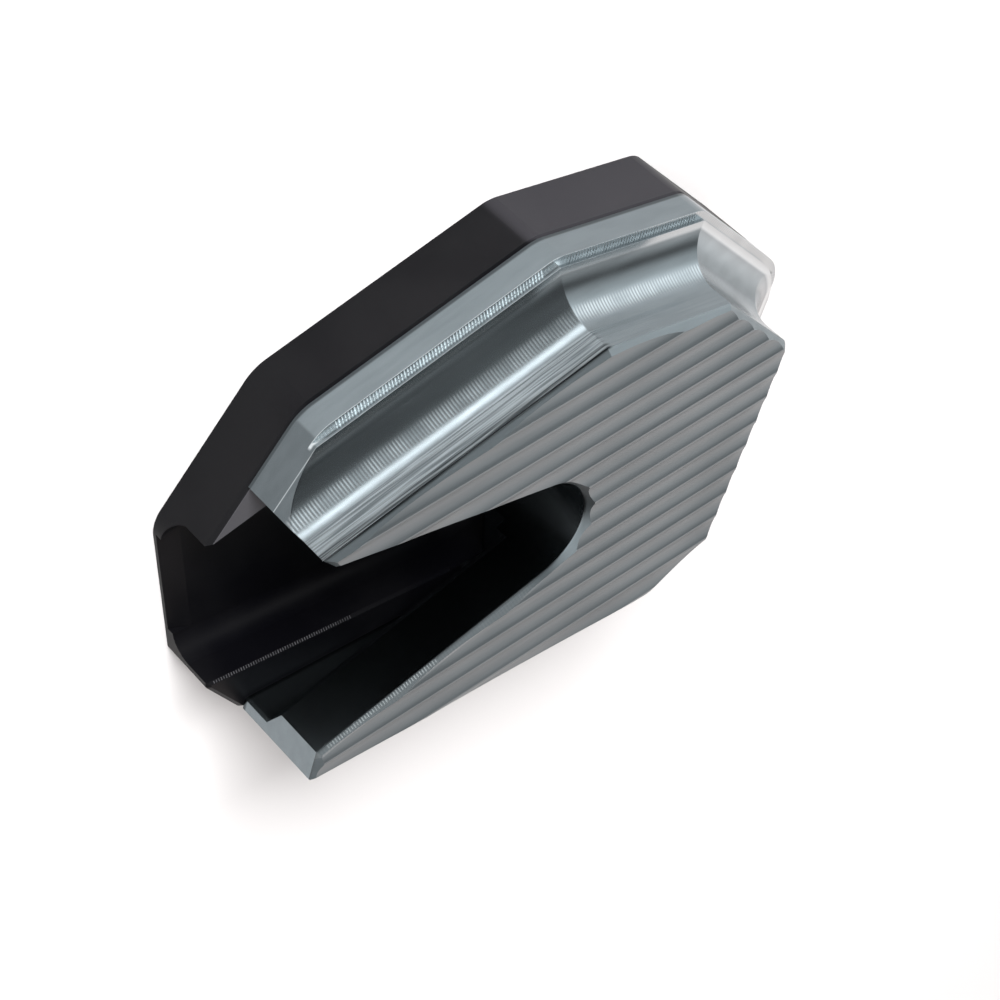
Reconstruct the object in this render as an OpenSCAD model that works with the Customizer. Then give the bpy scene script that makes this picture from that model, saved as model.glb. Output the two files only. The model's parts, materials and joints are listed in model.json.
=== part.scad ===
// Kickstand foot enlarger: two machined aluminium plates that clamp round the
// foot of a motorbike side stand. It lies in its frame as it is used: the tread
// of the black base plate is at z = 0 and the fluted face is on top.
// Millimetres and degrees. X runs along the flutes, from the mouth to the far end.
// Each straight side of the outline is given by the direction of its outward
// normal and by its distance from the origin.

/* [Plates] */
// Thickness of the black base plate
base_t = 8.4; // [8:0.1:12]
// Thickness of the grey top plate
top_t = 14.2; // [14:0.1:20]

/* [Outline] */
// Direction of the long flank's normal
long_a = 100.3; // [97:0.1:103]
// Distance of the long flank
long_d = 27.15; // [26:0.05:29]
// Direction of the crown flank's normal
crown_a = 75.5; // [72:0.5:78]
// Distance of the crown flank
crown_d = 29.4; // [29:0.05:30.5]
// Direction of the shoulder flank's normal
shoulder_a = 38.6; // [35:0.1:42]
// Distance of the shoulder flank
shoulder_d = 36.85; // [36:0.05:39]
// Direction of the far end's normal
far_a = -20.9; // [-25:0.1:-17]
// Distance of the far end
far_d = 38.55; // [37:0.05:42]
// Direction of the heel's normal
heel_a = -70; // [-73:0.5:-66]
// Distance of the heel
heel_d = 31.85; // [31:0.05:34]
// Direction of the lower side's normal
low_a = -96.1; // [-99:0.1:-94]
// Distance of the lower side
low_d = 26.95; // [26:0.05:30]
// Direction of the nose's normal
nose_a = -149.7; // [-155:0.1:-145]
// Distance of the nose
nose_d = 44.45; // [44:0.05:46]
// Distance of the mouth
mouth_d = 42.4; // [41:0.1:45]
// Direction of the brow's normal
brow_a = 135.7; // [132:0.1:139]
// Distance of the brow
brow_d = 35.3; // [34.5:0.1:36.5]
// Radius of the corners at both ends of the long flank
flank_r = 6; // [3:0.5:9]
// Radius of the corner between the crown and the shoulder
crown_r = 3.5; // [2:0.5:6]
// Radius of the corner between the shoulder and the far end
far_r = 5.5; // [3:0.5:7]
// Radius of the corner between the mouth and the brow
brow_r = 5; // [2:0.5:6]
// Radius of the corner between the nose and the mouth
nose_r = 1; // [0.6:0.1:1.2]
// Radius of the other corners
corner_r = 2; // [1.5:0.5:3]
// Width of the bevel round the base plate's upper edge
joint_bevel = 0.5; // [0.2:0.1:1]

/* [Flutes] */
// Distance between two flutes of the top face
flute_pitch = 3.5; // [2.5:0.1:5]
// Depth of a flute
flute_depth = 0.35; // [0.2:0.05:0.6]
// Width of the flat crest left between two flutes
crest_w = 0.3; // [0.1:0.05:0.8]
// Where one of the flutes lies along Y
flute_y = 2.4; // [0:0.1:5]
// Width of the bevel round the top face
face_bevel = 0.9; // [0.5:0.1:1.3]

/* [Cove along the flanks] */
// Height of the flat band under the cove
band_h = 3.85; // [3:0.05:4.3]
// Width of the ledge on that band
ledge_w = 0.9; // [0.5:0.1:1.5]
// Height of the step behind the ledge
ledge_h = 0.85; // [0.3:0.05:1.1]
// Radius of the cove
cove_r = 5.6; // [5:0.1:6.2]
// Radius of the top face's corner at the far end
face_r = 1.8; // [0.5:0.1:3]

/* [Leg slot] */
// Centre of the slot's round end along X
slot_x = -4.1; // [-8:0.1:0]
// Centre of the slot's round end along Y
slot_y = -3.5; // [-5:0.1:-2]
// Radius of the slot's round end
slot_r = 7.85; // [6:0.05:8.5]
// Angle between the slot's upper side and X
slot_up_a = 15.5; // [13:0.5:17]
// Angle between the slot's lower side and X
slot_low_a = 12.1; // [9:0.1:12.5]
// Height of the wider part of the slot, from the joint between the plates
step_h = 6.45; // [5.5:0.05:8]
// How much wider the slot is there along its upper side
step_w = 1.4; // [0.8:0.1:1.6]
// Height of the recess in the lower prong, from that joint
recess_h = 4.4; // [3:0.1:5]
// Thickness of the wall left between that recess and the lower side
recess_wall = 1.9; // [1.6:0.1:2.5]
// Where the recess ends along X
recess_x = -1; // [-6:0.5:1]
// Radius of its upright corner
recess_r = 4; // [2:0.5:5]
// Width of the slope between the recess and the slot's lower side
slope_w = 2.6; // [1.5:0.1:2.8]
// Direction of the lower prong's end
low_end_a = 162.9; // [158:0.1:167]
// How far the lower prong's end stands back from the corner under the nose
low_end_back = 0; // [0:0.1:3]
// Direction of the upper prong's tip
up_end_a = -144; // [-150:1:-138]
// How far the upper prong's tip stands back from the mouth, along the brow
up_end_back = 11.4; // [10:0.1:14]

/* [Foot pocket] */
// Thickness of the floor under the foot
floor_t = 1.6; // [1.4:0.1:2.5]
// Thickness of the pocket's wall along the long flank
up_wall = 11; // [10.5:0.1:12]
// Direction of the outward normal of the pocket's lower wall
pocket_low_a = -99.4; // [-101:0.1:-98]
// Width of the mouth's land between that wall and the nose
nose_land = 0.95; // [0.8:0.05:1.5]
// Where the pocket ends along X
pocket_x = 9; // [6:0.5:11]
// Radius of the pocket's upright corners
pocket_r = 12; // [9:0.5:12]
// Radius between the pocket's floor and its walls
foot_r = 3; // [1:0.1:3.5]
// Width of the bevel along the pocket's lower edge
rim_bevel = 0.35; // [0.2:0.05:0.4]
// Length of the slope that leads the foot in
lead_l = 2.6; // [1:0.1:4]
// Drop of that slope at the mouth
lead_h = 1; // [0.5:0.1:1]

/* [Screws] */
// Diameter of the screws
screw_d = 4; // [3:0.5:4]
// Diameter of a screw's countersunk head
head_d = 7.5; // [6:0.1:8]
// Length of a screw
screw_l = 12; // [11:0.1:12]
// How far the heads lie above the tread
head_sink = 0.4; // [0.2:0.1:0.6]
// Width of the hexagonal socket across its flats
socket_w = 2.5; // [2:0.1:3]
// Depth of that socket
socket_h = 1.6; // [1:0.1:2]
// Clearance round the shank in the base plate
shank_gap = 0.25; // [0.1:0.05:0.5]
// Clearance round the thread in the top plate
thread_gap = 0.05; // [0.02:0.01:0.1]
// Depth of the threaded holes past the screws' tips
tip_gap = 0.3; // [0.1:0.1:0.4]
// Distance of a screw from the long flank
screw_up_s = 5.2; // [5:0.1:5.5]
// Distance of a screw from the lower side
screw_low_s = 5.6; // [5.4:0.1:6]
// Distance of the other screws from the flanks beside them
screw_far_s = 6.8; // [6.5:0.1:7.2]
// How far the upper screw is along the long flank
screw_up_x = 17.5; // [15:0.5:19]
// How far the lower screw is along the lower side
screw_low_x = 12; // [11:0.5:14]

/* [Tread] */
// Distance between two grooves of the tread
tread_pitch = 4.4; // [3.5:0.1:6]
// Depth of a groove
tread_depth = 0.5; // [0.2:0.05:0.6]
// Width of a groove
tread_w = 2.6; // [1:0.1:3]
// Width of the plain rim round the grooves
tread_rim = 10.8; // [10.6:0.1:12]

/* [Hidden] */
$fn = 64;
// A cut runs this far past the surface that it opens
over = 1;
// A bevel's cut runs this far past its upper edge
lift = 0.2;
// And a flute's cut this far past the top face
flute_lift = 0.03;
// A round is this much wider than a tangent one, so that it meets its sides in an edge
seam = 0.01;
// A cut turned round a corner stays this much shallower than the straight ones
ring_gap = 0.04;
// Longer than any side
reach = 120;
total_t = base_t + top_t;
LONG = [long_a, long_d];
CROWN = [crown_a, crown_d];
SHOULDER = [shoulder_a, shoulder_d];
FAR = [far_a, far_d];
HEEL = [heel_a, heel_d];
LOW = [low_a, low_d];
NOSE = [nose_a, nose_d];
MOUTH = [180, mouth_d];
BROW = [brow_a, brow_d];
// The sides clockwise, and the radius of the corner that follows each of them. The
// corner between the mouth and the brow is rounded after the pocket is cut.
SIDES = [LONG, CROWN, SHOULDER, FAR, HEEL, LOW, NOSE, MOUTH, BROW];
RADII = [flank_r, crown_r, far_r, corner_r, corner_r, corner_r, nose_r, 0, flank_r];
// The sides that carry the cove
COVED = [LONG, CROWN, SHOULDER, FAR];
// The sides round the tread's grooves
TREAD = [LONG, SHOULDER, FAR, LOW, MOUTH];
flute_half = (flute_pitch - crest_w) / 2;
flute_r = (flute_half * flute_half + flute_depth * flute_depth) / (2 * flute_depth);
groove_r = (tread_w * tread_w / 4 + tread_depth * tread_depth) / (2 * tread_depth);
band_z = base_t + band_h;
cove_z = band_z + ledge_h + cove_r;
// The upright wall above the cove, measured inwards from the outline
cove_wall = ledge_w + cove_r;
// Where the top face begins, measured inwards from the outline
face_s = cove_wall + face_bevel;
head_h = (head_d - screw_d) / 2;
hole_z = head_sink + screw_l + tip_gap;
BLACK = [0.09, 0.09, 0.1];
GREY = [0.42, 0.45, 0.46];
STEEL = [0.55, 0.56, 0.58];

// Outward normal of a side, and the direction along it
function normal(side) = [cos(side[0]), sin(side[0])];
function tangent(side) = [-sin(side[0]), cos(side[0])];
// The side moved inwards
function inset(side, by) = [side[0], side[1] - by];
// Where two sides cross
function crossing(a, b) =
    [a[1] * sin(b[0]) - b[1] * sin(a[0]), b[1] * cos(a[0]) - a[1] * cos(b[0])] / sin(b[0] - a[0]);
// Centre of the round that joins two sides
function centre(a, b, r) = crossing(inset(a, r), inset(b, r));
// How far the outline turns from one side to the next
function turn(a, b) = (a[0] - b[0] + 360) % 360;
// A point of a side at a distance from the foot of the origin's normal
function on_side(side, along) = side[1] * normal(side) + along * tangent(side);
function next(i, list) = list[(i + 1) % len(list)];
// The side in a given direction through a point
function side_through(a, point) = [a, point * [cos(a), sin(a)]];
LOW_END = inset(side_through(low_end_a, crossing(LOW, NOSE)), low_end_back);
POCKET_UP = inset(LONG, up_wall);
POCKET_END = [0, pocket_x];
POCKET_LOW = side_through(pocket_low_a, crossing(NOSE, MOUTH) + [0, nose_land]);
UP_END = side_through(up_end_a, crossing(MOUTH, BROW) - up_end_back * tangent(BROW));

// Plan with straight sides and a round at each corner that has a radius
module rounded(sides, radii) {
    difference() {
        polygon([for (i = [0 : len(sides) - 1]) crossing(sides[i], next(i, sides))]);
        for (i = [0 : len(sides) - 1])
            if (radii[i] > 0)
                corner_waste(sides[i], next(i, sides), radii[i]);
    }
}

// What the round between two sides takes off their sharp corner
module corner_waste(a, b, r) {
    c = centre(a, b, r);
    wide = r + over;
    difference() {
        polygon([c, c + wide * normal(a), centre(a, b, -over), c + wide * normal(b)]);
        translate(c) circle(r = r + seam);
    }
}

// A section drawn with x inwards from the side and y upwards, run along that side
module along(side, from = -reach / 2, to = reach / 2) {
    rotate([0, 0, side[0]])
        translate([side[1], to, 0])
            rotate([90, 0, 0])
                linear_extrude(height = to - from)
                    mirror([1, 0]) children();
}

// The same section turned round the corner between two sides
module round_corner(a, b, r) {
    translate(centre(a, b, r))
        rotate([0, 0, b[0]])
            rotate_extrude(angle = turn(a, b))
                translate([r, 0]) mirror([1, 0]) children();
}

// What a bevel takes off an edge at height z
module bevel_section(w, z) {
    polygon([[-over, z - w - over], [-over, z + lift], [w + lift, z + lift]]);
}

// What is milled off along a flank: ledge, cove, upright wall and bevel
module cove_section() {
    polygon([[-over, band_z], [ledge_w, band_z], [ledge_w, cove_z], [cove_wall, cove_z],
        [cove_wall, total_t - face_bevel], [face_s + lift, total_t + lift], [-over, total_t + lift]]);
    translate([ledge_w, cove_z])
        circle(r = cove_r + seam);
}

// The flutes' section is cut off just above the face, so that none meets the next
module flutes() {
    translate([-reach / 2, 0, 0])
        rotate([90, 0, 90])
            linear_extrude(height = reach)
                for (i = [-9 : 6])
                    intersection() {
                        translate([flute_y + i * flute_pitch, total_t - flute_depth + flute_r])
                            circle(r = flute_r);
                        translate([flute_y + (i - 0.5) * flute_pitch, total_t - over])
                            square([flute_pitch, over + flute_lift]);
                    }
}

// The leg slot in plan, wider on each side by a distance
module slot_plan(wider = 0) {
    r = slot_r + wider;
    up = [sin(slot_up_a), cos(slot_up_a)];
    low = [sin(slot_low_a), -cos(slot_low_a)];
    translate([slot_x, slot_y]) {
        circle(r = r + seam);
        polygon([[0, 0], r * up, r * up + reach * [-up[1], up[0]], r * low + reach * [low[1], -low[0]], r * low]);
    }
}

// The wider part of the slot along its upper side
module step_plan() {
    intersection() {
        slot_plan(step_w);
        translate([-reach, slot_y]) square([2 * reach, reach]);
    }
}

// The recess in the lower prong, with a slope up to the slot's lower side
module recess() {
    side = inset(LOW, recess_wall);
    end = [0, recess_x];
    linear_extrude(height = base_t + recess_h)
        difference() {
            polygon([[-reach, slot_y], [recess_x, slot_y], crossing(end, side), crossing(side, [180, reach])]);
            corner_waste(end, side, recess_r);
        }
    translate([slot_x, slot_y, 0])
        along([90 + slot_low_a, -slot_r], 0, reach)
            polygon([[-over, base_t], [-over, base_t + step_h], [0, base_t + step_h],
                [slope_w, base_t + recess_h], [slope_w, base_t]]);
}

// Bevel round the slot's edge in the top face
module slot_bevel() {
    translate([slot_x, slot_y, total_t - face_bevel])
        cylinder(h = face_bevel + lift, r1 = slot_r + seam, r2 = slot_r + seam + face_bevel + lift);
    translate([slot_x, slot_y, 0])
        along([-90 - slot_up_a, -slot_r], -reach, 0)
            bevel_section(face_bevel, total_t);
    translate([slot_x, slot_y, 0])
        along([90 + slot_low_a, -slot_r], 0, reach)
            bevel_section(face_bevel, total_t);
}

// A prong's end: all that lies beyond the side, above or below the slot's round end
module prong_end(side, above) {
    intersection() {
        union() {
            along(side) translate([-reach, 0]) square([reach, total_t + over]);
            along(side) bevel_section(face_bevel, total_t);
        }
        translate([-reach, above ? slot_y : slot_y - reach, 0])
            cube([2 * reach, reach, total_t + over]);
    }
}

// Screw places, each tied to the sides that carry it
function screw_places() = [
    on_side(inset(LONG, screw_up_s), screw_up_x),
    centre(CROWN, SHOULDER, screw_far_s),
    centre(FAR, HEEL, screw_far_s),
    on_side(inset(LOW, screw_low_s), screw_low_x)];

// The foot's pocket: a flat floor, upright walls and a round all along their foot
module pocket() {
    difference() {
        translate([0, 0, floor_t])
            linear_extrude(height = base_t)
                pocket_plan(POCKET_UP, POCKET_END, POCKET_LOW, pocket_r);
        for (side = [POCKET_UP, POCKET_END, POCKET_LOW])
            along(side) foot_section();
        round_corner(POCKET_UP, POCKET_END, pocket_r) foot_section(ring_gap);
        round_corner(POCKET_END, POCKET_LOW, pocket_r) foot_section(ring_gap);
    }
}

// The pocket in plan, open past the mouth
module pocket_plan(up, end, low, r) {
    difference() {
        polygon([crossing([180, reach], up), crossing(up, end), crossing(end, low), crossing(low, [180, reach])]);
        corner_waste(up, end, r);
        corner_waste(end, low, r);
    }
}

// What the round leaves between the floor and a wall
module foot_section(less = 0) {
    difference() {
        translate([-over, floor_t - over]) square(foot_r + over);
        translate([foot_r, floor_t + foot_r]) circle(r = foot_r + seam + less);
    }
}

// The slope that leads the foot into the pocket
module lead_in() {
    intersection() {
        along(MOUTH)
            polygon([[-over, floor_t - lead_h * (1 + over / lead_l)], [lead_l, floor_t],
                [lead_l, floor_t + foot_r], [-over, floor_t + foot_r]]);
        linear_extrude(height = base_t)
            pocket_plan(inset(POCKET_UP, foot_r), POCKET_END, inset(POCKET_LOW, foot_r), corner_r);
    }
}

module tread() {
    intersection() {
        translate([0, 0, -over])
            linear_extrude(height = over + tread_depth)
                polygon([for (i = [0 : len(TREAD) - 1])
                    crossing(inset(TREAD[i], tread_rim), inset(next(i, TREAD), tread_rim))]);
        for (i = [-5 : 5])
            translate([-reach / 2, i * tread_pitch, tread_depth - groove_r])
                rotate([0, 90, 0])
                    cylinder(h = reach, r = groove_r);
    }
}

// What a bevel takes off the upper edge of a wall that stands outside the side
module outer_bevel_section(w, z) {
    mirror([1, 0]) bevel_section(w, z);
}

// A screw's way through the base plate, countersunk from the tread
module screw_way() {
    translate([0, 0, -over])
        cylinder(h = over + head_sink, r = head_d / 2);
    translate([0, 0, head_sink])
        cylinder(h = head_h, r1 = head_d / 2, r2 = screw_d / 2);
    cylinder(h = base_t + over, r = screw_d / 2 + shank_gap);
}

module base_body() {
    difference() {
        linear_extrude(height = base_t) rounded(SIDES, RADII);
        pocket();
    }
}

module base_plate() {
    color(BLACK)
        difference() {
            difference() {
                base_body();
                for (side = SIDES)
                    along(side) bevel_section(joint_bevel, base_t);
                for (i = [0 : len(SIDES) - 1])
                    if (RADII[i] > 0)
                        round_corner(SIDES[i], next(i, SIDES), RADII[i])
                            bevel_section(joint_bevel - ring_gap, base_t);
                along(POCKET_LOW, -reach / 2, centre(POCKET_END, POCKET_LOW, pocket_r) * tangent(POCKET_LOW) - over)
                    outer_bevel_section(rim_bevel, base_t);
                lead_in();
                tread();
                for (p = screw_places())
                    translate([p[0], p[1], 0]) screw_way();
            }
            translate([0, 0, -over])
                linear_extrude(height = base_t + 2 * over)
                    corner_waste(MOUTH, BROW, brow_r);
        }
}

module top_body() {
    difference() {
        translate([0, 0, base_t])
            linear_extrude(height = top_t) rounded(SIDES, RADII);
        for (side = COVED)
            along(side) cove_section();
        round_corner(SHOULDER, FAR, face_s + face_r)
            translate([-ring_gap, ring_gap]) cove_section();
        for (side = [HEEL, LOW, BROW])
            along(side) bevel_section(face_bevel, total_t);
        linear_extrude(height = total_t + over) slot_plan();
        linear_extrude(height = base_t + step_h) step_plan();
        recess();
        slot_bevel();
        prong_end(LOW_END, false);
        prong_end(UP_END, true);
        for (p = screw_places())
            translate([p[0], p[1], base_t - over])
                cylinder(h = hole_z - base_t + over, r = screw_d / 2 + thread_gap);
    }
}

module top_plate() {
    color(GREY)
        difference() {
            top_body();
            flutes();
        }
}

module clamp_screws() {
    color(STEEL)
        for (p = screw_places())
            translate([p[0], p[1], head_sink])
                difference() {
                    union() {
                        cylinder(h = screw_l, r = screw_d / 2);
                        cylinder(h = head_h, r1 = head_d / 2, r2 = screw_d / 2);
                    }
                    translate([0, 0, -over])
                        cylinder(h = over + socket_h, r = socket_w / 2 / cos(30), $fn = 6);
                }
}

base_plate();
top_plate();
clamp_screws();
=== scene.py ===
"""Looks of a kickstand foot enlarger: two machined, anodised aluminium plates.

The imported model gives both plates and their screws. This script dresses them with
procedural finishes, adds the fine milled ticks that are too small for the solids,
and sets up the floor, the light and the camera.
"""

import json
import logging
import math
from dataclasses import dataclass, field
from enum import Enum
from typing import Sequence

import bpy
from mathutils import Matrix, Vector

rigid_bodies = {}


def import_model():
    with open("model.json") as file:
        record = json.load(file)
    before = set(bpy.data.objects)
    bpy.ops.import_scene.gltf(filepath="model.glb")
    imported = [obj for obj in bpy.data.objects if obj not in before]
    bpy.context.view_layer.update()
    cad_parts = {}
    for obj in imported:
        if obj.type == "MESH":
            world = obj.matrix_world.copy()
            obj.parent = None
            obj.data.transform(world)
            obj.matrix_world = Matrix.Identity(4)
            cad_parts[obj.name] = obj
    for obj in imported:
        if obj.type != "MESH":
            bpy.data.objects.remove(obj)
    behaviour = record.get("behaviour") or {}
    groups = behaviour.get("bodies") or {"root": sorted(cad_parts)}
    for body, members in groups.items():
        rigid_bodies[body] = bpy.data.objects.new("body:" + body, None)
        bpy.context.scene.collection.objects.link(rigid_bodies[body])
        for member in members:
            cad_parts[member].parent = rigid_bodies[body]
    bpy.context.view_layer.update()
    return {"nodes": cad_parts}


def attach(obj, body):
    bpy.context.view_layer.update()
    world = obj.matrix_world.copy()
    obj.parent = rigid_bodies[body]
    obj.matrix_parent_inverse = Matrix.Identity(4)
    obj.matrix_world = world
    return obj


MM = 0.001
UP = Vector((0.0, 0.0, 1.0))
# Limits that turn a noise of about 0 to 1 into soft or sharper patches
SOFT = (0.3, 0.7)
SHARP = (0.35, 0.65)
log = logging.getLogger("foot_enlarger")

Colour = Sequence[float] | bpy.types.NodeSocket


class Slot(Enum):
    """The record's material slots."""

    BASE = "base_plate"
    TOP = "top_plate"
    SCREWS = "clamp_screws"


@dataclass(frozen=True)
class Side:
    """A straight side seen from above, such as those of the outline in the part's source.

    Attributes:
        angle: direction of the outward normal, in degrees from +X.
        distance: distance from the origin, in millimetres.
    """

    angle: float
    distance: float

    @property
    def normal(self) -> Vector:
        """Outward normal in the plan."""
        return Vector((math.cos(math.radians(self.angle)), math.sin(math.radians(self.angle)), 0.0))

    @property
    def tangent(self) -> Vector:
        """Direction along the side, a quarter turn on from the normal."""
        return Vector((-math.sin(math.radians(self.angle)), math.cos(math.radians(self.angle)), 0.0))

    def at_x(self, x: float, z: float) -> Vector:
        """The side's point at a place along X, lifted to a height, in millimetres."""
        return Vector((x, (self.distance - x * self.normal.x) / self.normal.y, z))


@dataclass(frozen=True)
class SlotSide:
    """The straight lower side of the leg's slot, seen from above.

    Attributes:
        middle: centre of the slot's round end, in millimetres.
        angle: slope of the side against X, in degrees.
    """

    middle: tuple[float, float]
    angle: float

    @property
    def out(self) -> Vector:
        """Direction from the slot into the lower prong."""
        return Vector((math.sin(math.radians(self.angle)), -math.cos(math.radians(self.angle)), 0.0))

    @property
    def run(self) -> Vector:
        """Direction along the side, from the round end to the mouth."""
        return Vector((-math.cos(math.radians(self.angle)), -math.sin(math.radians(self.angle)), 0.0))


LONG_FLANK = Side(100.3, 27.15)
CROWN = Side(75.5, 29.4)
SHOULDER = Side(38.6, 36.85)
FAR_END = Side(-20.9, 38.55)
COVED = (LONG_FLANK, CROWN, SHOULDER, FAR_END)
MOUTH = Side(180.0, 42.4)
NOSE = Side(-149.7, 44.45)
BROW = Side(135.7, 35.3)
ENDS = (MOUTH, NOSE, BROW)
# The slot's lower side, and the upper edge of the pocket's lower wall
SLOT_SIDE = SlotSide((-4.1, -3.5), 12.1)
POCKET_RIM = Side(-99.4, 21.50)
# Heights of the band under the ledge and of the fluted face, in millimetres
BAND_Z = 12.25
TOP_Z = 22.6


class Expr:
    """A value socket that takes part in Python arithmetic by adding Math nodes."""

    def __init__(self, shader: "Shader", socket: bpy.types.NodeSocket) -> None:
        """Wraps a socket of the shader's tree."""
        self.shader = shader
        self.socket = socket

    def _math(self, operation: str, *values: "Expr | float") -> "Expr":
        """Adds a Math node.

        Args:
            operation: the node's operation.
            *values: its inputs, as expressions or numbers.

        Returns:
            The node's value.
        """
        return self.shader.value("ShaderNodeMath", {"operation": operation}, dict(enumerate(values)))

    def __add__(self, other: "Expr | float") -> "Expr":
        """Sum."""
        return self._math("ADD", self, other)

    def __radd__(self, other: float) -> "Expr":
        """Sum, reflected."""
        return self._math("ADD", other, self)

    def __sub__(self, other: "Expr | float") -> "Expr":
        """Difference."""
        return self._math("SUBTRACT", self, other)

    def __rsub__(self, other: float) -> "Expr":
        """Difference, reflected."""
        return self._math("SUBTRACT", other, self)

    def __mul__(self, other: "Expr | float") -> "Expr":
        """Product."""
        return self._math("MULTIPLY", self, other)

    def __rmul__(self, other: float) -> "Expr":
        """Product, reflected."""
        return self._math("MULTIPLY", other, self)

    def sine(self) -> "Expr":
        """Sine of a value in radians."""
        return self._math("SINE", self)

    def absolute(self) -> "Expr":
        """Value without its sign."""
        return self._math("ABSOLUTE", self)

    def maximum(self, other: "Expr | float") -> "Expr":
        """Larger of two values."""
        return self._math("MAXIMUM", self, other)

    def above(self, limit: "Expr | float") -> "Expr":
        """1 where the value is over the limit."""
        return self._math("GREATER_THAN", self, limit)

    def ramp(self, low: float, high: float) -> "Expr":
        """Smooth step from 0 at one level to 1 at another."""
        inputs = {"Value": self, "From Min": low, "From Max": high}
        return self.shader.value("ShaderNodeMapRange", {"interpolation_type": "SMOOTHSTEP"}, inputs)


@dataclass(frozen=True)
class Band:
    """A stretch of a height or distance with soft ends, in millimetres.

    Attributes:
        rise: where it starts and where it's full. None leaves it open.
        fall: where it starts to fade and where it's gone. None leaves it open.
    """

    rise: tuple[float, float] | None = None
    fall: tuple[float, float] | None = None

    def of(self, measure: Expr) -> Expr | float:
        """Tells what lies in the stretch.

        Args:
            measure: the height or distance, in metres.

        Returns:
            1 inside the stretch and 0 outside.
        """
        inside: Expr | float = 1.0
        if self.rise is not None:
            inside = measure.ramp(self.rise[0] * MM, self.rise[1] * MM)
        if self.fall is not None:
            inside = inside * (1 - measure.ramp(self.fall[0] * MM, self.fall[1] * MM))
        return inside


class Shader:
    """A material's node tree round one Principled shader."""

    def __init__(self, name: str) -> None:
        """Makes the material and its shader."""
        self.material = bpy.data.materials.new(name)
        self.material.use_nodes = True
        self.tree = self.material.node_tree
        self.tree.nodes.clear()
        self.principled = self.tree.nodes.new("ShaderNodeBsdfPrincipled")
        output = self.tree.nodes.new("ShaderNodeOutputMaterial")
        self.tree.links.new(self.principled.outputs[0], output.inputs["Surface"])
        self.coords = self.tree.nodes.new("ShaderNodeTexCoord").outputs["Object"]

    def _feed(self, socket: bpy.types.NodeSocket, given: object) -> None:
        """Links a socket to an expression or socket, or sets it to a constant."""
        given = given.socket if isinstance(given, Expr) else given
        if isinstance(given, bpy.types.NodeSocket):
            self.tree.links.new(given, socket)
        else:
            socket.default_value = given

    def node(self, kind: str, settings: dict, inputs: dict) -> bpy.types.Node:
        """Adds a node.

        Args:
            kind: the node's type.
            settings: its own settings, such as an operation, set first.
            inputs: values or links, by socket name or number.

        Returns:
            The node.
        """
        made = self.tree.nodes.new(kind)
        for name, setting in settings.items():
            setattr(made, name, setting)
        for key, given in inputs.items():
            self._feed(made.inputs[key], given)
        return made

    def value(self, kind: str, settings: dict, inputs: dict, output: str | int = 0) -> Expr:
        """Adds a node and takes one of its outputs as a value."""
        return Expr(self, self.node(kind, settings, inputs).outputs[output])

    def noise(self, scale: float, detail: float = 2.0, stretch: Sequence[float] = (1, 1, 1)) -> Expr:
        """Noise on object coordinates.

        Args:
            scale: cycles per metre.
            detail: octaves.
            stretch: the scale's factor along each axis.

        Returns:
            The noise, about 0 to 1.
        """
        place = self.node("ShaderNodeMapping", {}, {"Vector": self.coords, "Scale": stretch})
        inputs = {"Vector": place.outputs[0], "Scale": scale, "Detail": detail}
        return self.value("ShaderNodeTexNoise", {}, inputs, "Fac")

    def along(self, direction: Sequence[float]) -> Expr:
        """How far a point lies from the origin along a direction, in metres."""
        inputs = {0: self.coords, 1: tuple(direction)}
        return self.value("ShaderNodeVectorMath", {"operation": "DOT_PRODUCT"}, inputs, "Value")

    def outside(self, side: Side) -> Expr:
        """How far a point lies outside a side, in metres."""
        return self.along(side.normal) - side.distance * MM

    def mix(self, factor: Expr, first: Colour, second: Colour) -> bpy.types.NodeSocket:
        """Mix of two colours, or colour sockets, by a factor."""
        pair = [c if isinstance(c, bpy.types.NodeSocket) else (*c, 1.0) for c in (first, second)]
        inputs = {0: factor, 6: pair[0], 7: pair[1]}
        return self.node("ShaderNodeMix", {"data_type": "RGBA"}, inputs).outputs[2]

    def bump(self, height: Expr, depth: float, under: bpy.types.NodeSocket | None = None) -> bpy.types.NodeSocket:
        """Bump of a height field.

        Args:
            height: the field, in units of depth.
            depth: how deep one unit is, in metres.
            under: the normal that it's added to.

        Returns:
            The bumped normal.
        """
        inputs: dict = {"Height": height, "Distance": depth, "Strength": 1.0}
        if under is not None:
            inputs["Normal"] = under
        return self.node("ShaderNodeBump", {}, inputs).outputs[0]

    def surface(self, **inputs: object) -> None:
        """Sets the shader's inputs, given with underscores for spaces."""
        for name, given in inputs.items():
            self._feed(self.principled.inputs[name.replace("_", " ").title().replace("Ior", "IOR")], given)


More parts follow.
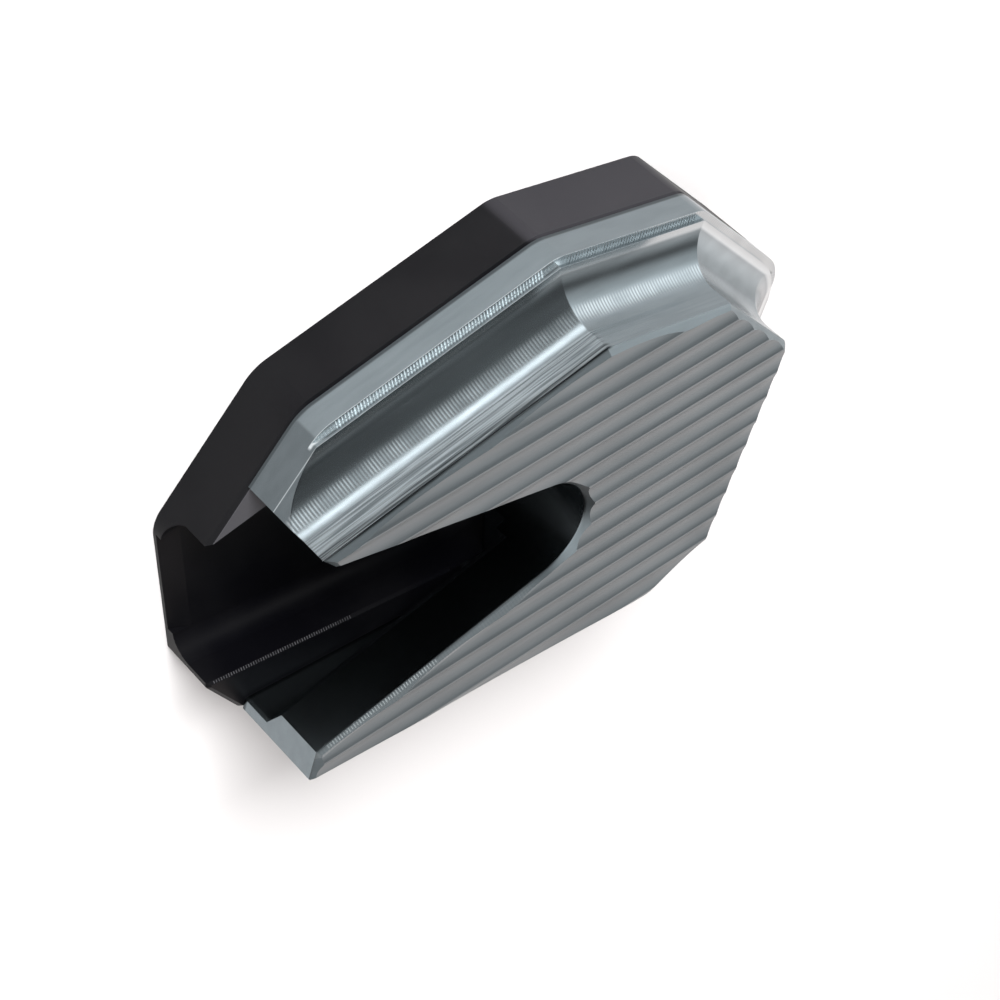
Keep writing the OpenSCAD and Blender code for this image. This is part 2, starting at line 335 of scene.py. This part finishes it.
@dataclass(frozen=True)
class GreyZones:
    """Where the grey plate's finish, painted shade and painted highlights change, in millimetres.

    Attributes:
        flank: the flanks, as the distance outside the coved sides.
        over_band: the flanks, as the height over the plain band.
        under_top: below the bevel round the fluted face.
        face: the fluted face and its bevel.
        rim: within a millimetre or so of a coved side, where the ledge is.
        ledge_edge: height of the ledge's cut edge.
        ledge_foot: height of the cove's foot on the ledge.
        streak: height of the bright streak in the coves.
        wall: height of the upright wall over the coves.
        wall_top: height of that wall's upper part, which takes painted shade.
        joint: height of the edge at the joint between the plates, which takes painted shade.
        end_face: the upright faces at the open end, as the distance outside them.
        long_fade: how far past the long flank's own part its marks fade out.
        bevel_out: the bevel over the slot's lower wall, across the slot.
        bevel_run: the same bevel, along the slot.
        bevel_height: the same bevel's height.
        slot_out: the slot's lower wall, across the slot.
        slot_run: the same wall, along the slot.
        slot_height: the same wall's height.
    """

    flank: Band = Band((-7.8, -7.0))
    over_band: Band = Band((BAND_Z, BAND_Z + 0.3))
    under_top: Band = Band(fall=(TOP_Z - 0.9, TOP_Z - 0.5))
    face: Band = Band((TOP_Z - 0.9, TOP_Z - 0.6))
    rim: Band = Band((-1.4, -1.1))
    ledge_edge: Band = Band((12.15, 12.25), (12.45, 12.75))
    ledge_foot: Band = Band((13.00, 13.10), (13.13, 13.22))
    streak: Band = Band((15.0, 15.6), (16.6, 17.3))
    wall: Band = Band((18.0, 18.6))
    wall_top: Band = Band((20.3, 21.6))
    joint: Band = Band(fall=(8.7, 9.0))
    end_face: Band = Band((-0.15, -0.05))
    long_fade: Band = Band(fall=(0.0, 0.4))
    bevel_out: Band = Band((7.80, 7.90), (8.72, 8.80))
    bevel_run: Band = Band((0.0, 4.0))
    bevel_height: Band = Band((21.65, 21.75), (22.55, 22.62))
    slot_out: Band = Band((3.0, 6.0), (7.86, 7.90))
    slot_run: Band = Band((-9.5, -6.0))
    slot_height: Band = Band(fall=(21.60, 21.75))


@dataclass(frozen=True)
class AnodisedGrey:
    """Satin titanium-grey anodising over a milled surface, with painted shade and painted highlights.

    Attributes:
        pale: colour of the flat faces.
        deep: colour where the light is taken up by the milled marks.
        shade: colour of the painted shade on the top of the long wall, the faces at the open end, the joint and the
            slot's lower wall, and of the dark lines along the upright walls.
        bright: colour of the painted highlights on the ledge's cut edge, the cove's foot, the streak's ticks and
            the slot's bevel, and of the strips between the lines along the upright walls.
        ridge_pitch: distance between two milled ridges across the flanks, in metres.
        ridge_depth: depth of those ridges, in metres.
        grain_depth: depth of the fine grain off the flanks, in metres.
        wall_shade: how much of the shade the top of the long wall takes.
        line_shade: the same for the lines along the upright walls.
        end_shade: the same for the faces at the open end.
        joint_shade: the same for the edge at the joint.
        slot_shade: the same for the slot's lower wall.
        ledge_highlight: brightness of the painted highlight on the ledge's cut edge, what its ticks add, and what
            the long flank adds.
        foot_highlight: brightness of the painted highlight line at the cove's foot.
        streak_highlight: brightness of the painted highlight ticks in the coves' streak.
        line_mark: brightness between the lines along the upright walls.
        bevel_highlight: brightness of the painted highlight on the slot's bevel, and what its ticks add.
        gloss: roughness of the flanks, what the face adds, and what the clouding adds.
        zones: where each of these lies.
    """

    pale: tuple[float, float, float] = (0.210, 0.246, 0.264)
    deep: tuple[float, float, float] = (0.165, 0.194, 0.208)
    shade: tuple[float, float, float] = (0.035, 0.042, 0.046)
    bright: tuple[float, float, float] = (0.80, 0.87, 0.90)
    ridge_pitch: float = 0.00044
    ridge_depth: float = 0.000006
    grain_depth: float = 0.000003
    wall_shade: float = 0.72
    line_shade: float = 0.50
    end_shade: float = 0.45
    joint_shade: float = 0.8
    slot_shade: float = 0.85
    ledge_highlight: tuple[float, float, float] = (0.3, 0.2, 0.4)
    foot_highlight: float = 0.4
    streak_highlight: float = 0.24
    line_mark: float = 0.13
    bevel_highlight: tuple[float, float] = (0.10, 0.06)
    gloss: tuple[float, float, float] = (0.24, 0.16, 0.03)
    zones: GreyZones = GreyZones()

    def material(self) -> bpy.types.Material:
        """Builds the finish, with ridges across each coved flank and a fine grain elsewhere."""
        zones = self.zones
        shader = Shader("anodised_grey")
        height = shader.along(UP)
        nearest, ticks = self._flank_ridges(shader)
        slot_bevel, slot_wall = self._slot_edges(shader, height)
        on_flank = zones.flank.of(nearest) * zones.over_band.of(height)
        on_long = zones.long_fade.of((shader.outside(LONG_FLANK) - nearest).absolute())
        under_top = zones.under_top.of(height)
        on_wall = zones.wall.of(height) * on_flank * under_top * (on_long * 0.85 + 0.15)
        at_streak = zones.streak.of(height) * on_flank

        cut = ticks * (shader.noise(300.0).ramp(*SHARP) * 0.6 + 0.4)
        lines = shader.noise(4200.0, stretch=(0.02, 0.02, 1.0)).ramp(*SHARP)
        streaks = shader.noise(900.0, 3.0, (0.06, 0.6, 1.0))
        cloud = shader.noise(70.0, 3.0)
        plain = shader.mix(streaks.ramp(*SOFT) * 0.5 + cloud.ramp(*SOFT) * 0.3, self.pale, self.deep)

        # Painted shade: the top of the long wall, the faces at the open end, the joint and the slot's lower wall
        # are darkened; the lines along the upright walls are dark streaks.
        painted_shade_and_lines = on_long * on_flank * under_top * zones.wall_top.of(height) * self.wall_shade
        painted_shade_and_lines = painted_shade_and_lines + on_wall * lines * self.line_shade
        painted_shade_and_lines = painted_shade_and_lines.maximum(self._end_faces(shader) * self.end_shade)
        painted_shade_and_lines = painted_shade_and_lines.maximum(zones.joint.of(height) * self.joint_shade).maximum(slot_wall * self.slot_shade)

        edge, edge_cut, edge_long = self.ledge_highlight
        bevel, bevel_cut = self.bevel_highlight
        # Painted highlights: the ledge's cut edge, brightest on the long flank, the line at the cove's foot, the
        # ticks in the coves' streak and the slot's bevel; the strips between the wall lines are paler streaks.
        painted_highlights_and_lines = zones.ledge_edge.of(height) * zones.rim.of(nearest) * (cut * edge_cut + edge + on_long * edge_long)
        painted_highlights_and_lines = painted_highlights_and_lines + zones.ledge_foot.of(height) * on_flank * self.foot_highlight
        painted_highlights_and_lines = painted_highlights_and_lines + at_streak * cut * self.streak_highlight + on_wall * (1 - lines) * self.line_mark
        painted_highlights_and_lines = painted_highlights_and_lines + slot_bevel * (cut * bevel_cut + bevel)

        grained = shader.bump(shader.noise(5200.0) * (1 - on_flank * 0.9), self.grain_depth)
        milled = shader.bump(cut * at_streak + streaks * 0.7 + lines * on_wall, self.ridge_depth, grained)
        flank_gloss, face_gloss, cloud_gloss = self.gloss
        shader.surface(
            base_color=shader.mix(painted_highlights_and_lines, shader.mix(painted_shade_and_lines, plain, self.shade), self.bright),
            metallic=1.0, normal=milled,
            roughness=flank_gloss + zones.face.of(height) * face_gloss + cloud.ramp(0.35, 0.7) * cloud_gloss,
        )
        return shader.material

    def _end_faces(self, shader: Shader) -> Expr:
        """1 on the upright faces at the open end, which take painted shade."""
        mouth, nose, brow = [shader.outside(side) for side in ENDS]
        return self.zones.end_face.of(mouth.maximum(nose).maximum(brow))

    def _slot_edges(self, shader: Shader, height: Expr) -> tuple[Expr, Expr]:
        """Finds the slot's lower side.

        Args:
            shader: the finish's shader.
            height: the height over the ground.

        Returns:
            1 on its bevel, which takes a painted highlight, and 1 on its upright wall, which takes painted shade.
        """
        zones = self.zones
        middle = Vector((*SLOT_SIDE.middle, 0.0))
        out = shader.along(SLOT_SIDE.out) - middle.dot(SLOT_SIDE.out) * MM
        run = shader.along(SLOT_SIDE.run) - middle.dot(SLOT_SIDE.run) * MM
        bevel = zones.bevel_out.of(out) * zones.bevel_run.of(run) * zones.bevel_height.of(height)
        wall = zones.slot_out.of(out) * zones.slot_run.of(run) * zones.slot_height.of(height)
        return bevel, wall

    def _flank_ridges(self, shader: Shader) -> tuple[Expr, Expr]:
        """Ridges across each coved flank.

        Args:
            shader: the finish's shader.

        Returns:
            How far a point lies outside the nearest coved side, and the ridges' height, 0 to 1.
        """
        outside = [shader.outside(side) for side in COVED]
        nearest = outside[0]
        for distance in outside[1:]:
            nearest = nearest.maximum(distance)
        turns = 2.0 * math.pi / self.ridge_pitch
        height: Expr | float = 0.0
        for side, distance in zip(COVED, outside):
            own = distance.above(nearest - 1e-6)
            height = (shader.along(side.tangent) * turns).sine() * own + height
        return nearest, height * 0.5 + 0.5


@dataclass(frozen=True)
class AnodisedBlack:
    """Satin black anodising: nearly black, with a soft sheen and a fine grain.

    Attributes:
        colour: colour of most of it.
        worn: colour of its paler clouds.
        crown_sheen: colour of the side under the crown, a painted sheen that makes it paler than the other sides.
        lit: colour of the face against the top plate, where it shows in the upper mouth.
        grain_depth: depth of the grain, in metres.
        crown: that side, as the distance outside the crown, in millimetres.
        face: that face's height.
        upper: the part of it on the long flank's side of the middle.
    """

    colour: tuple[float, float, float] = (0.0012, 0.0012, 0.0018)
    worn: tuple[float, float, float] = (0.0024, 0.0024, 0.0030)
    crown_sheen: tuple[float, float, float] = (0.014, 0.0135, 0.016)
    lit: tuple[float, float, float] = (0.045, 0.045, 0.050)
    grain_depth: float = 0.000005
    crown: Band = Band((-0.6, -0.1))
    face: Band = Band((8.36, 8.39))
    upper: Band = Band((0.0, 2.0))

    def material(self) -> bpy.types.Material:
        """Builds the finish."""
        shader = Shader("anodised_black")
        cloud = shader.noise(90.0, 4.0)
        plain = shader.mix(cloud.ramp(*SHARP), self.colour, self.worn)
        # Painted sheen: the side under the crown is given a paler colour.
        sided = shader.mix(self.crown.of(shader.outside(CROWN)), plain, self.crown_sheen)
        top = self.face.of(shader.along(UP)) * self.upper.of(shader.along((0, 1, 0)))
        shader.surface(
            base_color=shader.mix(top, sided, self.lit), metallic=0.0,
            normal=shader.bump(shader.noise(4200.0), self.grain_depth),
            roughness=0.42 + cloud.ramp(*SOFT) * 0.08, specular_ior_level=0.14,
        )
        return shader.material


@dataclass(frozen=True)
class CutEdge:
    """Edge that the cutter crossed last: brighter than the face beside it. Each row's colour is partly painted
    highlight, set to how bright that edge shows.

    Attributes:
        name: the material's name.
        colour: its colour where it's clean.
        roughness: its roughness.
        wear: how dark its worn places are, as a share of the colour.
    """

    name: str
    colour: tuple[float, float, float]
    roughness: float
    wear: float = 0.55

    def material(self) -> bpy.types.Material:
        """Builds the finish."""
        shader = Shader(self.name)
        worn = shader.noise(500.0).ramp(*SOFT)
        colour = shader.mix(worn * 0.5, self.colour, [c * self.wear for c in self.colour])
        shader.surface(base_color=colour, metallic=1.0, roughness=self.roughness)
        return shader.material


@dataclass(frozen=True)
class PlainSteel:
    """Turned stainless steel of the screws."""

    colour: tuple[float, float, float] = (0.55, 0.55, 0.56)

    def material(self) -> bpy.types.Material:
        """Builds the finish."""
        shader = Shader("plain_steel")
        roughness = 0.26 + shader.noise(600.0, 3.0).ramp(*SOFT) * 0.14
        shader.surface(base_color=(*self.colour, 1.0), metallic=1.0, roughness=roughness)
        return shader.material


@dataclass(frozen=True)
class Paper:
    """Matt white of the floor."""

    colour: tuple[float, float, float] = (0.585, 0.575, 0.575)

    def material(self) -> bpy.types.Material:
        """Builds the finish."""
        shader = Shader("paper")
        shader.surface(base_color=(*self.colour, 1.0), roughness=0.9)
        return shader.material


@dataclass(frozen=True)
class EvenWhite:
    """White of the backdrop, which gives its own light so that it has no shading."""

    colour: tuple[float, float, float] = (1.0, 0.995, 0.99)

    def material(self) -> bpy.types.Material:
        """Builds the finish."""
        shader = Shader("backdrop")
        shader.surface(base_color=(0.0, 0.0, 0.0, 1.0), roughness=1.0, specular_ior_level=0.0)
        shader.surface(emission_color=(*self.colour, 1.0), emission_strength=1.0)
        return shader.material


def dress(piece: bpy.types.Object, material: bpy.types.Material) -> None:
    """Gives a piece one material.

    Args:
        piece: the object.
        material: its finish.
    """
    piece.data.materials.clear()
    piece.data.materials.append(material)


@dataclass
class Plates:
    """The two plates and their screws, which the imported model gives."""

    nodes: dict[str, bpy.types.Object]
    grey: AnodisedGrey = field(default_factory=AnodisedGrey)
    black: AnodisedBlack = field(default_factory=AnodisedBlack)
    steel: PlainSteel = field(default_factory=PlainSteel)

    def build(self) -> None:
        """Dresses each node in its slot's finish."""
        finishes = {Slot.TOP: self.grey, Slot.BASE: self.black, Slot.SCREWS: self.steel}
        for slot, finish in finishes.items():
            dress(self.nodes[slot.value], finish.material())
            log.info("dressed %s", slot.value)


@dataclass(frozen=True)
class TickRow:
    """A row of fine raised ticks that a cutter left across an edge.

    Attributes:
        name: the piece's name.
        slot: the plate that it stands on.
        first: middle of the first tick, in millimetres.
        last: where the row ends.
        across: the direction in which a tick lies.
        length: a tick's length, in millimetres.
        radius: its radius, of which only a part stands out.
        pitch: distance from tick to tick.
    """

    name: str
    slot: Slot
    first: Vector
    last: Vector
    across: Vector
    length: float
    radius: float
    pitch: float

    @property
    def count(self) -> int:
        """How many ticks the row has."""
        return int((self.last - self.first).length / self.pitch) + 1


class TickTree:
    """Geometry Nodes tree that lays a small bar at each point of a line."""

    INPUTS = {
        "Start": "NodeSocketVector", "Step": "NodeSocketVector", "Count": "NodeSocketInt",
        "Radius": "NodeSocketFloat", "Length": "NodeSocketFloat", "Turn": "NodeSocketVector",
        "Seed": "NodeSocketInt", "Finish": "NodeSocketMaterial",
    }
    BAR_SIDES = 8
    SMALLEST = (0.80, 0.80, 0.75)
    LARGEST = (1.05, 1.05, 1.05)

    def __init__(self) -> None:
        """Builds the tree with its named inputs."""
        self.tree = bpy.data.node_groups.new("ticks_along_an_edge", "GeometryNodeTree")
        self.ids: dict[str, str] = {}
        for name, kind in self.INPUTS.items():
            made = self.tree.interface.new_socket(name=name, in_out="INPUT", socket_type=kind)
            self.ids[name] = made.identifier
        self.tree.interface.new_socket(name="Mesh", in_out="OUTPUT", socket_type="NodeSocketGeometry")
        self.given = self.tree.nodes.new("NodeGroupInput").outputs
        self._wire()

    def _add(self, kind: str, settings: dict, inputs: dict) -> bpy.types.NodeOutputs:
        """Adds a node.

        Args:
            kind: the node's type.
            settings: its own settings, set first.
            inputs: values or links, by socket name.

        Returns:
            The node's outputs.
        """
        made = self.tree.nodes.new(kind)
        for name, setting in settings.items():
            setattr(made, name, setting)
        for name, given in inputs.items():
            if isinstance(given, bpy.types.NodeSocket):
                self.tree.links.new(given, made.inputs[name])
            else:
                made.inputs[name].default_value = given
        return made.outputs

    def _wire(self) -> None:
        """Wires line, bar, random size, instances, real meshes and material."""
        given = self.given
        line = self._add("GeometryNodeMeshLine", {"mode": "OFFSET"}, {
            "Count": given["Count"], "Start Location": given["Start"], "Offset": given["Step"],
        })
        bar = self._add("GeometryNodeMeshCylinder", {"fill_type": "NGON"}, {
            "Vertices": self.BAR_SIDES, "Radius": given["Radius"], "Depth": given["Length"],
        })
        size = self._add("FunctionNodeRandomValue", {"data_type": "FLOAT_VECTOR"}, {
            "Min": self.SMALLEST, "Max": self.LARGEST, "Seed": given["Seed"],
        })
        laid = self._add("GeometryNodeInstanceOnPoints", {}, {
            "Points": line["Mesh"], "Instance": bar["Mesh"], "Rotation": given["Turn"], "Scale": size["Value"],
        })
        real = self._add("GeometryNodeRealizeInstances", {}, {"Geometry": laid["Instances"]})
        done = self._add("GeometryNodeSetMaterial", {}, {"Geometry": real["Geometry"], "Material": given["Finish"]})
        output = self.tree.nodes.new("NodeGroupOutput")
        self.tree.links.new(done["Geometry"], output.inputs["Mesh"])

    def bake(self, row: TickRow, finish: bpy.types.Material, seed: int) -> bpy.types.Object:
        """Makes one row a plain mesh.

        Args:
            row: the row.
            finish: its material.
            seed: the seed of the ticks' random sizes.

        Returns:
            The piece, at the origin.
        """
        carrier = bpy.data.objects.new(row.name + "_carrier", bpy.data.meshes.new(row.name + "_carrier"))
        bpy.context.scene.collection.objects.link(carrier)
        modifier = carrier.modifiers.new("ticks", "NODES")
        modifier.node_group = self.tree
        step = (row.last - row.first).normalized() * row.pitch
        values = {
            "Start": tuple(row.first * MM), "Step": tuple(step * MM), "Count": row.count,
            "Radius": row.radius * MM, "Length": row.length * MM,
            "Turn": tuple(row.across.to_track_quat("Z", "Y").to_euler()), "Seed": seed, "Finish": finish,
        }
        for name, value in values.items():
            modifier[self.ids[name]] = value
        graph = bpy.context.evaluated_depsgraph_get()
        mesh = bpy.data.meshes.new_from_object(carrier.evaluated_get(graph), depsgraph=graph)
        bpy.data.objects.remove(carrier)
        piece = bpy.data.objects.new(row.name, mesh)
        mesh.name = row.name
        bpy.context.scene.collection.objects.link(piece)
        return piece


@dataclass
class CutterTicks:
    """The raised ticks along the ledge, the slot's lower edge and the pocket's lower rim.

    Attributes:
        ledge_z: height of the ledge ticks' middles, in millimetres.
        ledge_inset: how far they lie inside the outline.
        slot_z: height of the slot's bevel at its ticks.
        slot_reach: their distance from the slot's middle line.
        slot_sink: how deep their middles lie in the bevel.
        rim_z: height of the rim's bevel at its ticks.
        rim_sink: how deep their middles lie in that bevel.
        first_seed: the first row's seed. Each next row has the next.
        long_ledge: finish of the ticks on the long flank's ledge, much brighter than the crown's as painted
            highlight.
        crown_ledge: the same on the crown's ledge.
        slot_edge: the same on the slot's bevel.
        rim: the same on the pocket's rim.
    """

    ledge_z: float = 12.165
    ledge_inset: float = 0.50
    slot_z: float = 21.97
    slot_reach: float = 8.12
    slot_sink: float = 0.06
    rim_z: float = 8.225
    rim_sink: float = 0.05
    first_seed: int = 11
    # Painted highlight: the long ledge's ticks get a far brighter colour than the crown's, and each row's colour is
    # set to how bright its edge shows.
    long_ledge: CutEdge = CutEdge("cut_long_ledge_painted_highlight", (0.80, 0.88, 0.91), 0.30)
    crown_ledge: CutEdge = CutEdge("cut_crown_ledge", (0.42, 0.47, 0.49), 0.34)
    slot_edge: CutEdge = CutEdge("cut_slot_edge", (0.27, 0.30, 0.31), 0.36)
    rim: CutEdge = CutEdge("cut_rim", (0.12, 0.12, 0.13), 0.36)

    def rows(self) -> list[tuple[TickRow, CutEdge]]:
        """Places the rows on the solids' own edges, each with its finish."""
        return [
            (self._ledge("long_ledge_ticks", LONG_FLANK, start=-9.0, end=20.6), self.long_ledge),
            (self._ledge("crown_ledge_ticks", CROWN, start=-21.0, end=-0.5), self.crown_ledge),
            (self._slot_edge(start=17.0, end=33.4), self.slot_edge),
            (self._rim(start_x=-41.4, end_x=-21.5), self.rim),
        ]

    def _ledge(self, name: str, side: Side, start: float, end: float) -> TickRow:
        """Row across the ledge under a cove, between two places along its side."""
        line = side.normal * (side.distance - self.ledge_inset) + UP * self.ledge_z
        first, last = [line + side.tangent * place for place in (start, end)]
        return TickRow(name, Slot.TOP, first, last, side.normal, length=0.72, radius=0.13, pitch=0.44)

    def _slot_edge(self, start: float, end: float) -> TickRow:
        """Row on the bevel over the slot's lower wall, counted from the slot's round end."""
        out = SLOT_SIDE.out
        line = Vector((*SLOT_SIDE.middle, self.slot_z)) + out * self.slot_reach
        sunk = (UP - out).normalized() * -self.slot_sink
        first, last = [line + SLOT_SIDE.run * place + sunk for place in (start, end)]
        return TickRow("slot_edge_ticks", Slot.TOP, first, last, out + UP, length=0.56, radius=0.12, pitch=0.40)

    def _rim(self, start_x: float, end_x: float) -> TickRow:
        """Row on the bevel of the pocket's lower rim, between two places along X."""
        out = POCKET_RIM.normal
        sunk = (UP - out).normalized() * -self.rim_sink
        first, last = [POCKET_RIM.at_x(x, self.rim_z) + sunk for x in (start_x, end_x)]
        return TickRow("pocket_rim_ticks", Slot.BASE, first, last, out + UP, length=0.42, radius=0.10, pitch=0.36)

    def build(self) -> None:
        """Bakes each row and hands it to the frame."""
        tree = TickTree()
        for seed, (row, finish) in enumerate(self.rows(), start=self.first_seed):
            piece = tree.bake(row, finish.material(), seed)
            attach(piece, "root")
            log.info("laid %d ticks: %s", row.count, row.name)


def hang(name: str, data: bpy.types.Light, place: Sequence[float], target: Sequence[float]) -> bpy.types.Object:
    """Adds a light to the scene.

    Args:
        name: the light's name.
        data: its kind, size and power.
        place: where it stands, in metres.
        target: what it faces.

    Returns:
        The light's object.
    """
    lamp = bpy.data.objects.new(name, data)
    lamp.location = place
    lamp.rotation_euler = (Vector(target) - Vector(place)).to_track_quat("-Z", "Y").to_euler()
    bpy.context.scene.collection.objects.link(lamp)
    return lamp


@dataclass(frozen=True)
class Lamp:
    """A soft rectangular studio light that leaves no mirror image.

    Attributes:
        name: the light's name.
        place: where it stands, in metres.
        target: what it faces.
        size: its width and height, in metres.
        power: in watts.
    """

    name: str
    place: tuple[float, float, float]
    target: tuple[float, float, float]
    size: tuple[float, float]
    power: float

    def build(self) -> None:
        """Adds the light, turned to its target."""
        data = bpy.data.lights.new(self.name, "AREA")
        data.shape = "RECTANGLE"
        data.size, data.size_y = self.size
        data.energy = self.power
        hang(self.name, data, self.place, self.target).visible_glossy = False


@dataclass(frozen=True)
class Spot:
    """A lamp over the table that lights a round patch of it.

    Attributes:
        name: the lamp's name.
        place: where it hangs, in metres.
        target: the middle of the patch.
        spread: full angle of its cone, in degrees.
        power: in watts.
        blend: how much of the cone fades.
        radius: the lamp's own radius, in metres.
    """

    name: str
    place: tuple[float, float, float]
    target: tuple[float, float, float]
    spread: float
    power: float
    blend: float = 0.4
    radius: float = 0.02

    def build(self) -> None:
        """Adds the lamp, turned to its patch."""
        data = bpy.data.lights.new(self.name, "SPOT")
        data.energy = self.power
        data.spot_size = math.radians(self.spread)
        data.spot_blend = self.blend
        data.shadow_soft_size = self.radius
        hang(self.name, data, self.place, self.target)


@dataclass(frozen=True)
class Glow:
    """A broad bright part of the sky.

    Attributes:
        axis: direction of its middle.
        span: where it starts and where it's full, as cosines of the angle to that middle.
        level: how much brightness it adds.
    """

    axis: tuple[float, float, float]
    span: tuple[float, float]
    level: float


@dataclass(frozen=True)
class Eye:
    """The photograph's camera.

    Attributes:
        place: where it stands, in metres.
        right: direction of the picture's right.
        forward: direction that it looks in.
        lens: focal length, in millimetres.
        sensor: width of its sensor, in millimetres.
        clip: nearest and farthest distance that it sees, in metres.
    """

    place: tuple[float, float, float] = (-0.14195, 0.24813, 0.18142)
    right: tuple[float, float, float] = (0.77696, 0.01050, 0.62946)
    forward: tuple[float, float, float] = (0.41686, -0.75784, -0.50190)
    lens: float = 100.39
    sensor: float = 36.0
    clip: tuple[float, float] = (0.01, 20.0)

    def build(self) -> None:
        """Adds the camera at the photograph's angle, rolled as the photograph is."""
        right, forward = Vector(self.right).normalized(), Vector(self.forward).normalized()
        up = right.cross(forward).normalized()
        right = forward.cross(up)
        data = bpy.data.cameras.new("photograph")
        data.lens, data.sensor_width = self.lens, self.sensor
        data.clip_start, data.clip_end = self.clip
        camera = bpy.data.objects.new("photograph", data)
        turn = Matrix((right, up, -forward)).transposed().to_4x4()
        camera.matrix_world = Matrix.Translation(self.place) @ turn
        bpy.context.scene.collection.objects.link(camera)
        bpy.context.scene.camera = camera


def add_mesh(name: str, verts: list, faces: list, material: bpy.types.Material) -> bpy.types.Object:
    """Adds a plain mesh of the studio.

    Args:
        name: the object's name.
        verts: its corners, in metres.
        faces: its faces, as numbers of corners.
        material: its finish.

    Returns:
        The object.
    """
    mesh = bpy.data.meshes.new(name)
    mesh.from_pydata(verts, [], faces)
    made = bpy.data.objects.new(name, mesh)
    bpy.context.scene.collection.objects.link(made)
    dress(made, material)
    return made


@dataclass
class Studio:
    """Floor, light and camera.

    Attributes:
        floor_half: half the floor's width, in metres.
        wall_reach: radius and height of the backdrop, in metres.
        wall_facets: how many flat parts the backdrop has.
        lamps: the lights over and beside the part.
        glows: the bright parts of the sky, which the part mirrors.
        cool: the sky's colour.
        warm: its colour towards -Y.
        warm_span: where the warm colour starts and where it's full, as cosines of the angle to -Y.
        eye: the camera.
    """

    floor_half: float = 3.0
    wall_reach: float = 2.9
    wall_facets: int = 48
    lamps: tuple[Spot | Lamp, ...] = (
        Lamp("side_window", (-0.25, 1.60, 0.88), (0.0, 0.0, 0.0), (0.8, 0.6), 84.0),
        Spot("behind_near", (0.0, 0.060, 1.0), (0.0, 0.060, 0.0), 5.0, 7.5),
        Spot("behind_far", (0.0, 0.160, 1.0), (0.0, 0.160, 0.0), 9.0, 435.0),
        Spot("behind_right", (0.13, 0.11, 1.0), (0.13, 0.11, 0.0), 7.0, 33.0),
    )
    glows: tuple[Glow, ...] = (
        Glow((0.10, 0.00, 1.00), (0.75, 0.97), 0.10),
        Glow((0.40, -0.76, 0.50), (0.70, 0.95), 1.17),
        Glow((0.15, 0.68, 0.72), (0.80, 0.97), 0.11),
        Glow((-0.72, 0.05, 0.69), (0.75, 0.95), 1.39),
        Glow((-0.50, 0.80, 0.30), (0.75, 0.95), 2.92),
        Glow((0.92, -0.36, 0.15), (0.75, 0.97), 1.30),
        Glow((0.75, 0.40, 0.45), (0.82, 0.97), 1.21),
        Glow((0.70, 0.70, 0.12), (0.80, 0.97), 1.43),
    )
    cool: tuple[float, float, float] = (1.0, 1.0, 1.0)
    warm: tuple[float, float, float] = (1.0, 0.88, 0.84)
    warm_span: tuple[float, float] = (0.1, 0.8)
    eye: Eye = Eye()

    def build(self) -> None:
        """Adds all of the studio."""
        self._floor()
        self._backdrop()
        self._sky()
        for lamp in self.lamps:
            lamp.build()
        self.eye.build()
        bpy.context.scene.view_settings.view_transform = "Standard"
        log.info("studio ready")

    def _floor(self) -> None:
        """Adds the pale floor under the tread."""
        half = self.floor_half
        verts = [(-half, -half, 0), (half, -half, 0), (half, half, 0), (-half, half, 0)]
        floor = add_mesh("floor", verts, [(0, 1, 2, 3)], Paper().material())

    def _backdrop(self) -> None:
        """Adds a pale wall all round, which only closes the picture over the floor's far edge."""
        count = self.wall_facets
        turns = [2.0 * math.pi * n / count for n in range(count)]
        ring = [(self.wall_reach * math.cos(turn), self.wall_reach * math.sin(turn)) for turn in turns]
        verts = [(x, y, z) for z in (0.0, self.wall_reach) for x, y in ring]
        faces = [(n + count, (n + 1) % count + count, (n + 1) % count, n) for n in range(count)]
        wall = add_mesh("backdrop", verts, faces, EvenWhite().material())
        wall.visible_glossy = wall.visible_diffuse = wall.visible_shadow = False

    def _sky(self) -> None:
        """Gives the world its glows, warmer towards -Y. The rest of it is dark."""
        world = bpy.data.worlds.new("studio")
        world.use_nodes = True
        tree = world.node_tree
        direction = tree.nodes.new("ShaderNodeTexCoord").outputs["Generated"]
        levels = [self._sky_step(tree, direction, glow) for glow in self.glows]
        total = levels[0]
        for level in levels[1:]:
            add = tree.nodes.new("ShaderNodeMath")
            tree.links.new(total, add.inputs[0])
            tree.links.new(level, add.inputs[1])
            total = add.outputs[0]
        tint = tree.nodes.new("ShaderNodeMix")
        tint.data_type = "RGBA"
        tree.links.new(self._sky_step(tree, direction, Glow((0, -1, 0), self.warm_span, 1.0)), tint.inputs[0])
        tint.inputs[6].default_value = (*self.cool, 1.0)
        tint.inputs[7].default_value = (*self.warm, 1.0)
        background = tree.nodes["Background"]
        tree.links.new(tint.outputs[2], background.inputs["Color"])
        tree.links.new(total, background.inputs["Strength"])
        bpy.context.scene.world = world

    @staticmethod
    def _sky_step(tree: bpy.types.NodeTree, direction: bpy.types.NodeSocket, glow: Glow) -> bpy.types.NodeSocket:
        """A smooth rise towards one part of the sky.

        Args:
            tree: the world's tree.
            direction: the direction of a ray.
            glow: where the rise leads, how wide it is and how high.

        Returns:
            The level, from 0 outside the glow.
        """
        dot = tree.nodes.new("ShaderNodeVectorMath")
        dot.operation = "DOT_PRODUCT"
        tree.links.new(direction, dot.inputs[0])
        dot.inputs[1].default_value = Vector(glow.axis).normalized()
        step = tree.nodes.new("ShaderNodeMapRange")
        step.interpolation_type = "SMOOTHSTEP"
        tree.links.new(dot.outputs["Value"], step.inputs["Value"])
        step.inputs["From Min"].default_value, step.inputs["From Max"].default_value = glow.span
        step.inputs["To Max"].default_value = glow.level
        return step.outputs[0]


def main() -> None:
    logging.basicConfig(level=logging.INFO, format="%(message)s")
    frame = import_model()
    Plates(frame["nodes"]).build()
    CutterTicks().build()
    Studio().build()


if __name__ == "__main__":
    main()
